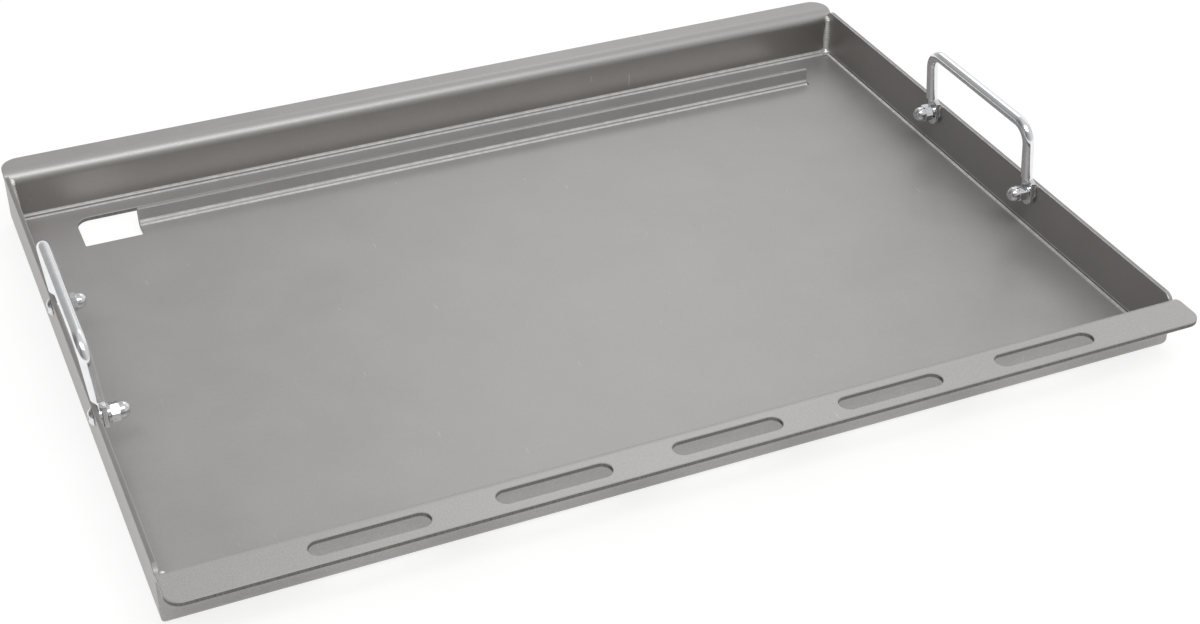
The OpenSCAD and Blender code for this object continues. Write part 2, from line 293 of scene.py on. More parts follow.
def bright_plating():
    # Bright nickel and zinc plate on turned and pressed steel: a mirror with a fine turned
    # haze, slightly less even than the rods.
    material, tree, shader, place = surface("bright_plated_fastener_steel", Metallic=1.0)
    haze = add(tree, "ShaderNodeTexNoise",
               {"Vector": place, "Scale": per_mm(1.6), "Detail": 2.0})
    colour = stops(add(tree, "ShaderNodeValToRGB", {"Fac": haze.outputs[0]}),
                   (NOISE_LOW, "#d0d1d3"), (NOISE_HIGH, "#e9e9ea"))
    matt = add(tree, "ShaderNodeMapRange",
               {"Value": haze.outputs[0], "From Min": NOISE_LOW, "From Max": NOISE_HIGH,
                "To Min": 0.12, "To Max": 0.05})
    tree.links.new(colour.outputs[0], shader.inputs["Base Color"])
    tree.links.new(matt.outputs[0], shader.inputs["Roughness"])
    return material


SHEET_STEEL = cold_rolled_steel("cold_rolled_steel_bare", "#a5a2a1", "#afadab", SHEET_METALLIC)
# Painted shade: the insides of the walls, and the middles of the bends between floor and
# walls, are darker copies of the sheet, as less light falls on them; the side walls have their
# own copy
WALL_STEEL = cold_rolled_steel("cold_rolled_steel_wall_painted_shade", "#96928f", "#a09d9a",
                               WALL_METALLIC)
SIDE_STEEL = cold_rolled_steel("cold_rolled_steel_painted_shade_side", "#a19e9c", "#aba8a6",
                               SIDE_METALLIC)
BEND_STEEL = cold_rolled_steel("cold_rolled_steel_painted_shade_bend", "#8f8c8a", "#9a9795",
                               BEND_METALLIC)
# The outside and the lip show the grain of the sheet; the lip is a lighter copy, painted light
OUTER_STEEL = cold_rolled_steel("cold_rolled_steel_outside", "#a5a2a1", "#b7b5b3",
                                SHEET_METALLIC, FINE_GRAIN, PLAIN_GRAIN_SHARE)
LIP_STEEL = cold_rolled_steel("cold_rolled_steel_painted_light", "#a9a6a5", "#bcbab8",
                              SHEET_METALLIC, FINE_GRAIN, PLAIN_GRAIN_SHARE)
# The crests of these bends carry a painted highlight
LIP_BEND_STEEL = highlighted_bent_edge_steel("cold_rolled_steel_lip_bend", "#9b9895", "#c8c6c5", "#b3b1af")
FLANGE_BEND_STEEL = highlighted_bent_edge_steel("cold_rolled_steel_flange_bend", "#9b9895", "#b8b6b4",
                                    "#aaa8a6")
# A painted highlight along the inside bends
BEND_HIGHLIGHT_STEEL = bend_highlight_line()
CUT_STEEL = laser_cut_edge()
# The arris: burnished, and brighter still as a painted highlight
BRIGHT_EDGE = burnished_edge_and_highlight()
WELD = weld_metal()
CHROME = chrome_plate()
PLATED = bright_plating()


# Finished pieces

# Points of a mesh that are nearer than this are one
SAME_POINT = 0.001


def shown(name, mesh):
    """An object at the origin whose place is in its mesh."""
    made = bpy.data.objects.new(name, mesh)
    bpy.context.scene.collection.objects.link(made)
    return made


def mesh_of(work, name):
    """A mesh from the work in hand, which is then put away."""
    mesh = bpy.data.meshes.new(name)
    work.to_mesh(mesh)
    work.free()
    return mesh


def lofted(name, rings):
    """A closed piece through rings of points in mm, joined up or capped at its two ends."""
    work = bmesh.new()
    made = [[work.verts.new(point * MM) for point in ring] for ring in rings]
    for one, two in zip(made, made[1:]):
        for k in range(len(one)):
            n = (k + 1) % len(one)
            work.faces.new((one[k], one[n], two[n], two[k]))
    if rings[0] == rings[-1]:
        bmesh.ops.remove_doubles(work, verts=work.verts, dist=SAME_POINT * MM)
    else:
        work.faces.new(made[0])
        work.faces.new(made[-1])
    bmesh.ops.recalc_face_normals(work, faces=work.faces)
    return shown(name, mesh_of(work, name))


def evaluated(piece):
    """The piece with its modifiers taken into its mesh."""
    graph = bpy.context.evaluated_depsgraph_get()
    mesh = bpy.data.meshes.new_from_object(piece.evaluated_get(graph), depsgraph=graph)
    piece.modifiers.clear()
    piece.data = mesh
    return piece


def smoothed(piece, degrees):
    """Smooth shading with edges above this angle kept sharp, flat faces kept flat."""
    mesh = piece.data
    mesh.polygons.foreach_set("use_smooth", [True] * len(mesh.polygons))
    mesh.set_sharp_from_angle(angle=math.radians(degrees))
    flat = piece.modifiers.new("flat faces", "WEIGHTED_NORMAL")
    flat.keep_sharp = True
    flat.weight = 80
    return evaluated(piece)


def joined_to_part(piece, slot, *nodes):
    """The piece stands for its nodes and rides on the part; its slot is not used."""
    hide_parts(*nodes)
    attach(piece, "root")


# The plate

FINISHES = (SHEET_STEEL, WALL_STEEL, SIDE_STEEL, BEND_STEEL, OUTER_STEEL, LIP_STEEL,
            LIP_BEND_STEEL, FLANGE_BEND_STEEL, CUT_STEEL, BRIGHT_EDGE, BEND_HIGHLIGHT_STEEL)
(SHEET_FACE, WALL_FACE, SIDE_FACE, BEND_FACE, OUTER_FACE, LIP_FACE,
 LIP_BEND, FLANGE_BEND, CUT, ARRIS, PAINTED_HIGHLIGHT) = range(len(FINISHES))

# The width of a broken arris, and the least length and angle, in degrees, of its edge
ARRIS_SIZE = 0.45
ARRIS_LEAST_EDGE = 0.4
ARRIS_LEAST_ANGLE = 60
# Triangles that meet at less than this angle, in degrees, are one flat face
FLAT_ANGLE = 0.3
# Edges above this angle, in degrees, stay sharp
PLATE_SHARP_ANGLE = 38
# Places that are nearer than this are the same
NEAR = 0.05
# Shares of a face's normal along an axis: facing it, edge on to it, and sloping up
FACING = 0.9
EDGE_ON = 0.1
SLOPE_LEAST = 0.001
SLOPE_MOST = 0.9999
# An inside bend has a painted highlight line next to the floor, where its normal's share along
# Z is above the first of these, and next to the wall, below the second; at a side wall, below
# the third
FLOOR_LINE = 0.83
WALL_LINE = 0.55
SIDE_LINE = 0.85


def inside_bend_finish(normal):
    """The finish of an inside bend: two painted highlight lines with painted shade between them,
    or one line at a side wall.
    """
    if abs(normal.x) > abs(normal.y):
        return PAINTED_HIGHLIGHT if normal.z < SIDE_LINE else SHEET_FACE
    return PAINTED_HIGHLIGHT if normal.z > FLOOR_LINE or normal.z < WALL_LINE else BEND_FACE


def finish_of(face):
    """The finish of a face of the plate, from its place and the way it faces."""
    spots = [v.co / MM for v in face.verts]
    normal = face.normal
    low = min(p.z for p in spots)
    high = max(p.z for p in spots)
    reach = max(abs(p.x) for p in spots)
    length = max(p.x for p in spots) - min(p.x for p in spots)
    inside = reach < INNER_X + NEAR and all(
        INNER_FRONT - NEAR < p.y < INNER_REAR + NEAR for p in spots)
    upright = abs(normal.z) < EDGE_ON
    sloping = SLOPE_LEAST < normal.z < SLOPE_MOST
    faces_side = abs(normal.x) > FACING
    at_top = normal.z > FACING and low > WALL_TOP - NEAR
    # Cut edges: those of the floor's openings, of the lip and flange, and the fence's ends
    of_opening = upright and high < SHEET + NEAR
    of_lip_or_flange = upright and low > WALL_TOP - SHEET - NEAR
    fence_end = faces_side and high < FENCE_TOP + NEAR and reach < INNER_X - NEAR
    if of_opening or of_lip_or_flange or fence_end:
        return CUT
    in_bend = low > SHEET - NEAR and high < SHEET + FLOOR_BEND_R + NEAR
    if in_bend and inside and sloping:
        return inside_bend_finish(normal)
    # The bends at the top of the front and rear walls run from side to side
    # Their crests carry a painted highlight
    if length > INNER_X and low > EDGE_BEND_START - NEAR and sloping:
        return LIP_BEND if normal.y > 0 else FLANGE_BEND
    # The top of the lip and the outsides of the side walls take the lighter copy, painted light
    if at_top and max(p.y for p in spots) < INNER_FRONT:
        return LIP_FACE
    if upright and faces_side and reach > INNER_X + NEAR:
        return LIP_FACE
    if abs(normal.y) > FACING and not inside:
        return OUTER_FACE
    # Painted shade: the insides of the side walls take their darker copy of the sheet
    if faces_side and all(abs(abs(p.x) - INNER_X) < NEAR for p in spots):
        return SIDE_FACE
    # Painted shade: the insides of the front and rear walls, and the side walls' tops, take the
    # darker wall copy
    in_wall = upright and inside and high > FENCE_TOP + NEAR
    side_wall_top = at_top and all(abs(p.x) > INNER_X - NEAR for p in spots)
    return WALL_FACE if in_wall or side_wall_top else SHEET_FACE


def dressed_plate():
    """A copy of the plate with its sharp edges broken, in its finishes."""
    work = bmesh.new()
    work.from_mesh(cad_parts["griddle_plate"].data)
    bmesh.ops.remove_doubles(work, verts=work.verts, dist=SAME_POINT * MM)
    bmesh.ops.dissolve_limit(work, angle_limit=math.radians(FLAT_ANGLE), verts=work.verts,
                             edges=work.edges)
    for face in work.faces:
        face.material_index = finish_of(face)
    rims = [e for e in work.edges if e.is_convex and e.calc_length() > ARRIS_LEAST_EDGE * MM
            and e.calc_face_angle(0) > math.radians(ARRIS_LEAST_ANGLE)]
    bmesh.ops.bevel(work, geom=rims, offset=ARRIS_SIZE * MM, offset_type="OFFSET",
                    segments=2, profile=0.5, affect="EDGES", material=ARRIS,
                    clamp_overlap=False, loop_slide=True)
    # Painted highlight: only the right wall's rims stay bright; the others keep the sheet's tone
    for face in work.faces:
        if face.material_index == ARRIS and any(
                v.co.x < (INNER_X - NEAR) * MM for v in face.verts):
            face.material_index = SHEET_FACE
    mesh = mesh_of(work, "griddle_plate_dressed")
    for material in FINISHES:
        mesh.materials.append(material)
    return smoothed(shown("griddle_plate_dressed", mesh), PLATE_SHARP_ANGLE)


joined_to_part(dressed_plate(), "plate_steel", "griddle_plate")


# Geometry trees

def named_tree(name, sockets):
    """An empty geometry tree with these named inputs, and its input node's sockets."""
    tree = bpy.data.node_groups.new(name, "GeometryNodeTree")
    tree.is_modifier = True
    for label, kind in sockets.items():
        tree.interface.new_socket(label, in_out="INPUT", socket_type="NodeSocket" + kind)
    tree.interface.new_socket("Geometry", in_out="OUTPUT", socket_type="NodeSocketGeometry")
    return tree, tree.nodes.new("NodeGroupInput").outputs


def ended(tree, geometry, material):
    """Closes a tree with Realize Instances and Set Material."""
    real = add(tree, "GeometryNodeRealizeInstances", {"Geometry": geometry})
    dressed = add(tree, "GeometryNodeSetMaterial",
                  {"Geometry": real.outputs[0], "Material": material})
    add(tree, "NodeGroupOutput", {0: dressed.outputs[0]})
    return tree


def grown(name, tree, values):
    """A plain mesh piece from a geometry tree, its inputs set by their identifiers."""
    piece = shown(name, bpy.data.meshes.new(name))
    modifier = piece.modifiers.new(tree.name, "NODES")
    modifier.node_group = tree
    for item in tree.interface.items_tree:
        if item.in_out == "INPUT":
            modifier[item.identifier] = values[item.name]
    return evaluated(piece)


# Weld beads

BEAD_SIDES = 36
BEAD_RINGS = 150
BEAD_RADIUS = 4.2
BEAD_INSET = 1.0
BEAD_SINK = 0.3
BEAD_FOOT_Z = SHEET
BEAD_TOP_Z = 33.2
SHORT_BEAD_TOP_Z = 27.0
RIPPLE_PITCH = 1.9
RIPPLE_BOW = 0.8
# A ripple's depth as a share of the bead's radius
RIPPLE_DEPTH = 0.07
# How far the ripples wander, in ripples
RIPPLE_WANDER = 1.4
FIRST_SEED = 3.0
SEED_STEP = 7.0
# Points nearer than this, at a bead's closed ends, are one
BEAD_SAME_POINT = 0.004
# Least share of a direction towards a wall, so that the way to the wall stays finite
LEAST_TOWARDS = 0.05
# The bead's radius along its height, both as shares: a ball at the foot, a slimmer run and
# a small ball at the tip; the ends are closed
BEAD_OUTLINE = ((0.01, 0.80), (0.04, 0.98), (0.09, 0.98), (0.14, 0.74), (0.19, 0.62),
                (0.40, 0.66), (0.62, 0.58), (0.86, 0.46), (0.92, 0.56), (0.97, 0.46))


def weld_tree():
    """A rippled bead up an inside corner, kept to the walls and following their bend."""
    tree, given = named_tree("rippled weld bead", {
        "Corner": "Vector", "Inward": "Vector", "Wall Reach": "Float", "Height": "Float",
        "Radius": "Float", "Pitch": "Float", "Ripple": "Float", "Bow": "Float",
        "Seed": "Float", "Bend Start": "Float", "Bend Radius": "Float",
        "Bend Way": "Float", "Material": "Material"})
    tube = add(tree, "GeometryNodeMeshCylinder",
               {"Vertices": BEAD_SIDES, "Side Segments": BEAD_RINGS, "Fill Segments": 1,
                "Radius": 1.0, "Depth": 1.0}, fill_type="TRIANGLE_FAN")
    spot = add(tree, "GeometryNodeInputPosition").outputs[0]
    parts = add(tree, "ShaderNodeSeparateXYZ", {"Vector": spot})
    way = add(tree, "ShaderNodeCombineXYZ",
              {"X": parts.outputs["X"], "Y": parts.outputs["Y"]})
    share = add(tree, "ShaderNodeMath", {0: parts.outputs["Z"], 1: 0.5}, operation="ADD")
    up = add(tree, "ShaderNodeMath", {0: share.outputs[0], 1: given["Height"]},
             operation="MULTIPLY")
    # Ripples dip in the middle of the bead, where it freezes last
    facing = add(tree, "ShaderNodeVectorMath", {0: way.outputs[0], 1: given["Inward"]},
                 operation="DOT_PRODUCT")
    wave_up = add(tree, "ShaderNodeMath",
                  {0: facing.outputs["Value"], 1: given["Bow"], 2: up.outputs[0]},
                  operation="MULTIPLY_ADD")
    uneven = add(tree, "ShaderNodeTexNoise",
                 {"W": given["Seed"], "Scale": 2.5, "Detail": 1.0, "Vector": spot},
                 noise_dimensions="4D")
    turns = add(tree, "ShaderNodeMath", {0: wave_up.outputs[0], 1: given["Pitch"]},
                operation="DIVIDE")
    wander = add(tree, "ShaderNodeMath",
                 {0: uneven.outputs[0], 1: RIPPLE_WANDER, 2: turns.outputs[0]},
                 operation="MULTIPLY_ADD")
    phase = add(tree, "ShaderNodeMath", {0: wander.outputs[0], 1: math.pi},
                operation="MULTIPLY")
    wave = add(tree, "ShaderNodeMath", {0: phase.outputs[0]}, operation="SINE")
    crest = add(tree, "ShaderNodeMath", {0: wave.outputs[0]}, operation="ABSOLUTE")
    ripple = add(tree, "ShaderNodeMapRange",
                 {"Value": crest.outputs[0], "To Min": -1.0, "To Max": 0.0})
    outline = add(tree, "ShaderNodeFloatCurve", {"Value": share.outputs[0]})
    curve = outline.mapping.curves[0]
    for height, radius in BEAD_OUTLINE:
        curve.points.new(height, radius)
    curve.points[-1].location = (1.0, 0.0)
    outline.mapping.update()
    groove = add(tree, "ShaderNodeMath",
                 {0: ripple.outputs[0], 1: given["Ripple"], 2: outline.outputs[0]},
                 operation="MULTIPLY_ADD")
    wide = add(tree, "ShaderNodeMath", {0: groove.outputs[0], 1: given["Radius"]},
               operation="MULTIPLY")
    # Towards a wall the bead ends just inside the sheet
    quarter = add(tree, "ShaderNodeVectorMath", {0: given["Inward"]}, operation="SIGN")
    turned_in = add(tree, "ShaderNodeVectorMath", {0: way.outputs[0], 1: quarter.outputs[0]},
                    operation="MULTIPLY")
    sides = add(tree, "ShaderNodeSeparateXYZ", {"Vector": turned_in.outputs[0]})
    nearest = add(tree, "ShaderNodeMath", {0: sides.outputs["X"], 1: sides.outputs["Y"]},
                  operation="MINIMUM")
    towards = add(tree, "ShaderNodeMath", {0: nearest.outputs[0], 1: -1.0},
                  operation="MULTIPLY")
    outward = add(tree, "ShaderNodeMath", {0: towards.outputs[0], 1: LEAST_TOWARDS},
                  operation="MAXIMUM")
    limit = add(tree, "ShaderNodeMath", {0: given["Wall Reach"], 1: outward.outputs[0]},
                operation="DIVIDE")
    kept = add(tree, "ShaderNodeMath", {0: wide.outputs[0], 1: limit.outputs[0]},
               operation="MINIMUM")
    radius = add(tree, "ShaderNodeMath", {0: kept.outputs[0], 1: 0.0}, operation="MAXIMUM")
    ring = add(tree, "ShaderNodeVectorMath", {0: way.outputs[0], "Scale": radius.outputs[0]},
               operation="SCALE")
    lift = add(tree, "ShaderNodeCombineXYZ", {"Z": up.outputs[0]})
    local = add(tree, "ShaderNodeVectorMath", {0: ring.outputs[0], 1: lift.outputs[0]},
                operation="ADD")
    moved = add(tree, "ShaderNodeVectorMath", {0: local.outputs[0], 1: given["Corner"]},
                operation="ADD")
    # Above the start of the bend the wall's face runs away on an arc
    level = add(tree, "ShaderNodeSeparateXYZ", {"Vector": moved.outputs[0]})
    past = add(tree, "ShaderNodeMath", {0: level.outputs["Z"], 1: given["Bend Start"]},
               operation="SUBTRACT")
    rise = add(tree, "ShaderNodeMath", {0: past.outputs[0], 1: 0.0}, operation="MAXIMUM")
    turn = add(tree, "ShaderNodeMath", {0: rise.outputs[0], 1: given["Bend Radius"]},
               operation="DIVIDE")
    angle = add(tree, "ShaderNodeMath", {0: turn.outputs[0]}, operation="ARCSINE")
    cosine = add(tree, "ShaderNodeMath", {0: angle.outputs[0]}, operation="COSINE")
    lag = add(tree, "ShaderNodeMath", {0: 1.0, 1: cosine.outputs[0]}, operation="SUBTRACT")
    reach = add(tree, "ShaderNodeMath", {0: given["Bend Radius"], 1: given["Bend Way"]},
                operation="MULTIPLY")
    shift = add(tree, "ShaderNodeMath", {0: lag.outputs[0], 1: reach.outputs[0]},
                operation="MULTIPLY")
    away = add(tree, "ShaderNodeCombineXYZ", {"Y": shift.outputs[0]})
    final = add(tree, "ShaderNodeVectorMath", {0: moved.outputs[0], 1: away.outputs[0]},
                operation="ADD")
    placed = add(tree, "GeometryNodeSetPosition",
                 {"Geometry": tube.outputs["Mesh"], "Position": final.outputs[0]})
    closed = add(tree, "GeometryNodeMergeByDistance",
                 {"Geometry": placed.outputs[0], "Distance": BEAD_SAME_POINT * MM})
    soft = add(tree, "GeometryNodeSetShadeSmooth", {"Geometry": closed.outputs[0]})
    return ended(tree, soft.outputs[0], given["Material"])


beads = weld_tree()
for number, (end, side) in enumerate((e, s) for e in (-1, 1) for s in (-1, 1)):
    wall_y = INNER_FRONT if end < 0 else INNER_REAR
    name = ("front" if end < 0 else "rear") + ("_left" if side < 0 else "_right") + "_weld"
    # The front right bead was stopped below the lip
    top = SHORT_BEAD_TOP_Z if name == "front_right_weld" else BEAD_TOP_Z
    bead = grown(name + "_bead", beads, {
        "Corner": Vector((side * (INNER_X - BEAD_INSET), wall_y - end * BEAD_INSET,
                          BEAD_FOOT_Z - BEAD_SINK)) * MM,
        "Inward": Vector((-side, -end, 0)).normalized(),
        "Wall Reach": (BEAD_INSET + BEAD_SINK) * MM,
        "Height": (top - BEAD_FOOT_Z + BEAD_SINK) * MM,
        "Radius": BEAD_RADIUS * MM,
        "Pitch": RIPPLE_PITCH * MM,
        "Ripple": RIPPLE_DEPTH,
        "Bow": RIPPLE_BOW * MM,
        "Seed": FIRST_SEED + SEED_STEP * number,
        "Bend Start": EDGE_BEND_START * MM,
        "Bend Radius": EDGE_BEND_R * MM,
        "Bend Way": float(end),
        "Material": WELD})
    joined_to_part(bead, "weld_steel", name)


# Handles

HANDLE_SIDES = 36
# Edges above this angle, in degrees, stay sharp
HANDLE_SHARP_ANGLE = 40
GRIP_Z = 78.0
GRIP_BEND_R = 12.0
GRIP_BEND_STEPS = 12
LEAN = math.radians(5)
ROD_END_Z = 41.25
# Heights along a leg, above the rod's end, at which it has a section
LEG_SECTIONS = (6.0, 10.0, 15.0, 20.0)
PADDLE_W = 11.0
PADDLE_FOOT_Z = 21.5
# Degrees round the paddle's tip, then heights up the paddle, at which it has a section
TIP_SECTIONS = (6, 14, 24, 36, 48, 60, 75, 90)
PADDLE_SECTIONS = (29.0, 31.0, 33.0, 35.0)
# The paddle is thinner at the very tip, by this share and over this height, and the square
# of half its width is never less than the third
TIP_THINNING = 0.35
TIP_THIN_H = 1.5
TIP_LEAST_SQUARE = 0.05
# The neck's sections, and the heights between which flat turns to round
NECK_START_Z = 36.0
NECK_STEP = 0.5
NECK_SECTIONS = 21
FLAT_TO_Z = 38.2
ROUND_FROM_Z = 42.4
# Powers of the superellipse that a section is: a circle, and a flat bar with round edges
ROUND_POWER = 2
FLAT_POWER = 11
HOLE_D = 6.6
HOLE_SIDES = 48
DRILL_LENGTH = 8.0

# A section of a handle: its middle, its two axes, half its width and thickness, its power
Section = namedtuple("Section", "middle across through half_w half_t power")


def eased(x, start, stop):
    """A smooth step from 0 at start to 1 at stop."""
    t = min(1.0, max(0.0, (x - start) / (stop - start)))
    return t * t * (3 - 2 * t)


def mirrored(v):
    """A point or direction on the handle's other half, front to rear."""
    return Vector((v.x, -v.y, v.z))


def paddle_section(right_face, z):
    """The section of the front paddle and its neck at height z."""
    flat = 1 - eased(z, FLAT_TO_Z, ROUND_FROM_Z)
    tip_r = PADDLE_W / 2
    below = max(0.0, PADDLE_FOOT_Z + tip_r - z)
    width = 2 * math.sqrt(max(TIP_LEAST_SQUARE, tip_r * tip_r - below * below))
    wide = flat * width + (1 - flat) * ROD_D
    slim = 1 - TIP_THINNING * (1 - eased(z, PADDLE_FOOT_Z, PADDLE_FOOT_Z + TIP_THIN_H))
    thick = (flat * PADDLE_T + (1 - flat) * ROD_D) * slim
    rod_at = right_face - ROD_D / 2 - max(0.0, z - ROD_END_Z) * math.tan(LEAN)
    middle = flat * (right_face - PADDLE_T / 2) + (1 - flat) * rod_at
    power = ROUND_POWER + (FLAT_POWER - ROUND_POWER) * flat ** 3
    return Section(Vector((middle, -LEG_SPAN / 2, z)), Vector((0, 1, 0)), Vector((1, 0, 0)),
                   wide / 2, thick / 2, power)


def handle_sections(right_face):
    """The sections of a handle, from the front paddle's tip to the rear one's."""
    tip_r = PADDLE_W / 2
    levels = [PADDLE_FOOT_Z + tip_r * (1 - math.cos(math.radians(a))) for a in TIP_SECTIONS]
    levels += PADDLE_SECTIONS
    levels += [NECK_START_Z + NECK_STEP * i for i in range(NECK_SECTIONS)]
    front = [paddle_section(right_face, z) for z in levels]
    # The leg leans to the left, and bends at its top into half of the grip
    up = Vector((-math.sin(LEAN), 0, math.cos(LEAN)))
    out = Vector((math.cos(LEAN), 0, math.sin(LEAN)))
    rod = (ROD_D / 2, ROD_D / 2, ROUND_POWER)
    foot = Vector((right_face - ROD_D / 2, -LEG_SPAN / 2, ROD_END_Z))
    front += [Section(foot + up * along, Vector((0, 1, 0)), out, *rod) for along in LEG_SECTIONS]
    leg = (GRIP_Z - ROD_END_Z) / math.cos(LEAN)
    turn = foot + up * (leg - GRIP_BEND_R) + Vector((0, GRIP_BEND_R, 0))
    for step in range(GRIP_BEND_STEPS + 1):
        angle = math.radians(90 * step / GRIP_BEND_STEPS)
        ray = Vector((0, -math.cos(angle), 0)) + up * math.sin(angle)
        front.append(Section(turn + ray * GRIP_BEND_R, -ray, out, *rod))
    rear = [each._replace(middle=mirrored(each.middle), across=mirrored(each.across))
            for each in reversed(front)]
    return front + rear


def section_ring(section):
    """The points round a section."""
    ring = []
    for k in range(HANDLE_SIDES):
        angle = 2 * math.pi * k / HANDLE_SIDES
        c = math.cos(angle)
        s = math.sin(angle)
        x = section.half_w * math.copysign(abs(c) ** (2 / section.power), c)
        y = section.half_t * math.copysign(abs(s) ** (2 / section.power), s)
        spot = section.middle + section.across * x + section.through * y
        ring.append(spot + Vector((0, HANDLE_Y, 0)))
    return ring


def handle(name, right_face):
    """A round rod, bent twice, with its ends pressed flat."""
    piece = lofted(name, [section_ring(each) for each in handle_sections(right_face)])
    piece.data.materials.append(CHROME)
    return piece


def drilled(piece, right_face):
    """Cuts the screw holes through a handle's paddles."""
    across = Matrix.Rotation(math.radians(90), 4, "Y")
    for end in (-1, 1):
        work = bmesh.new()
        spot = Vector((right_face - PADDLE_T / 2, HANDLE_Y + end * LEG_SPAN / 2, SCREW_Z)) * MM
        bmesh.ops.create_cone(work, cap_ends=True, segments=HOLE_SIDES,
                              radius1=HOLE_D / 2 * MM, radius2=HOLE_D / 2 * MM,
                              depth=DRILL_LENGTH * MM,
                              matrix=Matrix.Translation(spot) @ across)
        drill = shown("drill", mesh_of(work, "drill"))
        cut = piece.modifiers.new("hole", "BOOLEAN")
        cut.operation = "DIFFERENCE"
        cut.solver = "EXACT"
        cut.object = drill
        evaluated(piece)
        bpy.data.objects.remove(drill)
    return piece


for side, name in ((-1, "left_handle"), (1, "right_handle")):
    seat = side * (INNER_X - WASHER_T)
    right_face = seat if side > 0 else seat + PADDLE_T
    rod = drilled(handle(name + "_rod", right_face), right_face)
    joined_to_part(smoothed(rod, HANDLE_SHARP_ANGLE), "handle_chrome", name)


# Fasteners

TURNED_SIDES = 72
# Edges above these angles, in degrees, stay sharp
TURNED_SHARP_ANGLE = 28
LOCK_SHARP_ANGLE = 40
# The width across flats of a round ring, and the radius at which an end is closed
ROUND = 0
END_R = 0.4


def turned(name, rings):
    """A closed piece on the X axis from rings of place, radius and width across flats."""
    made = []
    for x, radius, flats in rings:
        ring = []
        for k in range(TURNED_SIDES):
            angle = 2 * math.pi * k / TURNED_SIDES
            r = radius
            if flats:
                part = (angle + math.pi / 6) % (math.pi / 3) - math.pi / 6
                r = min(radius, flats / 2 / math.cos(part))
            ring.append(Vector((x, r * math.cos(angle), r * math.sin(angle))))
        made.append(ring)
    return smoothed(lofted(name, made), TURNED_SHARP_ANGLE)


def arc(place, level, radius, start, stop, steps):
    """Rings along an arc in the plane of place and radius, angles from +X in degrees."""
    angles = [math.radians(start + (stop - start) * i / steps) for i in range(steps + 1)]
    return [(place + radius * math.cos(a), level + radius * math.sin(a), ROUND) for a in angles]


def acorn_nut():
    """A domed hexagon nut with chamfered corners and a blind bore."""
    base = WASHER_T + PADDLE_T + LOCK_T
    flats, hex_h, height, dome_r = 10.0, 5.5, 12.0, 4.75
    bore_r, bore_depth, bore_lead = 3.05, 8.3, 0.4
    shoulder = base + hex_h
    # The cones that take off the hexagon's corners: their least radius, slope and depths
    cone_r, cone_slope = 4.85, 1.75
    depths = (0.03, 0.12, 0.22, 0.32, 0.42, 0.54)
    # The fillet between hexagon and dome, as heights and steps out
    fillet = ((0.05, 0.02), (0.35, 0.0))
    rings = [(base + bore_depth, END_R, ROUND), (base + bore_depth, bore_r, ROUND),
             (base + bore_lead, bore_r, ROUND), (base, bore_r + bore_lead, ROUND),
             (base, dome_r, ROUND)]
    rings += [(base + d, cone_r + d * cone_slope, flats) for d in depths]
    rings += [(shoulder - d, cone_r + d * cone_slope, flats) for d in reversed(depths)]
    rings += [(shoulder + rise, dome_r + step, ROUND) for rise, step in fillet]
    rings += arc(base + height - dome_r, 0, dome_r, start=90, stop=4, steps=14)
    return turned("acorn_nut", rings)


def lock_washer():
    """A split spring ring, pressed flat, its ends a little apart."""
    inner, outer, gap, rim = 3.3, 5.6, 0.9, 0.2
    middle = (inner + outer) / 2
    half = (outer - inner) / 2
    centre = WASHER_T + PADDLE_T + LOCK_T / 2
    profile = []
    for sx, sr, start in ((1, 1, 0), (-1, 1, 90), (-1, -1, 180), (1, -1, 270)):
        for a in (0, 30, 60, 90):
            angle = math.radians(start + a)
            profile.append((sx * (LOCK_T / 2 - rim) + rim * math.cos(angle),
                            sr * (half - rim) + rim * math.sin(angle)))
    opening = gap / middle
    steps = 60
    rings = []
    for i in range(steps + 1):
        angle = opening / 2 + (2 * math.pi - opening) * i / steps
        rings.append([Vector((centre + x, (middle + r) * math.cos(angle),
                              (middle + r) * math.sin(angle))) for x, r in profile])
    return smoothed(lofted("lock_washer", rings), LOCK_SHARP_ANGLE)


def flat_washer():
    """A stamped washer with a rolled outer rim."""
    inner, outer, rim, lead = 3.3, 6.0, 0.35, 0.1
    rings = [(0, inner + lead, ROUND), (0, outer - rim, ROUND)]
    rings += arc(rim, outer - rim, rim, start=180, stop=90, steps=4)[1:]
    rings += arc(WASHER_T - rim, outer - rim, rim, start=90, stop=0, steps=4)
    rings += [(WASHER_T, inner + lead, ROUND), (WASHER_T - lead, inner, ROUND),
              (lead, inner, ROUND), (0, inner + lead, ROUND)]
    return turned("flat_washer", rings)


def button_screw():
    """A button head screw with a hexagon socket; its head is outside the wall."""
    head_h, head_r, shank_r, tip, tip_lead = 3.3, 5.25, 3.0, 13.0, 0.6
    socket, socket_r, socket_depth, socket_edge = 4.0, 2.31, 2.0, 0.2
    crown_r, drill_r, drill_end_r, dome_inset = 2.7, 1.6, 0.2, 0.02
    # The head's rounded seat, as depths and steps in, and the socket's mouth, as depths and
    # radii
    seat = ((0.0, 0.55), (0.12, 0.5), (0.5, 0.08))
    mouth = ((-0.03, 2.55), (-0.02, 2.45))
    under = -SHEET
    dome_r = (head_r * head_r + head_h * head_h) / (2 * head_h)
    rings = [(tip, END_R, ROUND), (tip, shank_r - tip_lead, ROUND),
             (tip - tip_lead, shank_r, ROUND), (under, shank_r, ROUND)]
    rings += [(under - depth, head_r - step, ROUND) for depth, step in seat]
    wide = math.degrees(math.asin((head_r - dome_inset) / dome_r))
    crown = math.degrees(math.asin(crown_r / dome_r))
    rings += arc(under - head_h + dome_r, 0, dome_r, 180 - wide, 180 - crown, steps=10)[1:]
    lip = rings[-1][0]
    floor = lip + socket_depth
    rings += [(lip + depth, radius, ROUND) for depth, radius in mouth]
    rings += [(lip + socket_edge, socket_r, socket), (floor - socket_edge, socket_r, socket),
              (floor, drill_r, ROUND), (floor + socket_edge, drill_end_r, ROUND)]
    return turned("button_screw", rings)


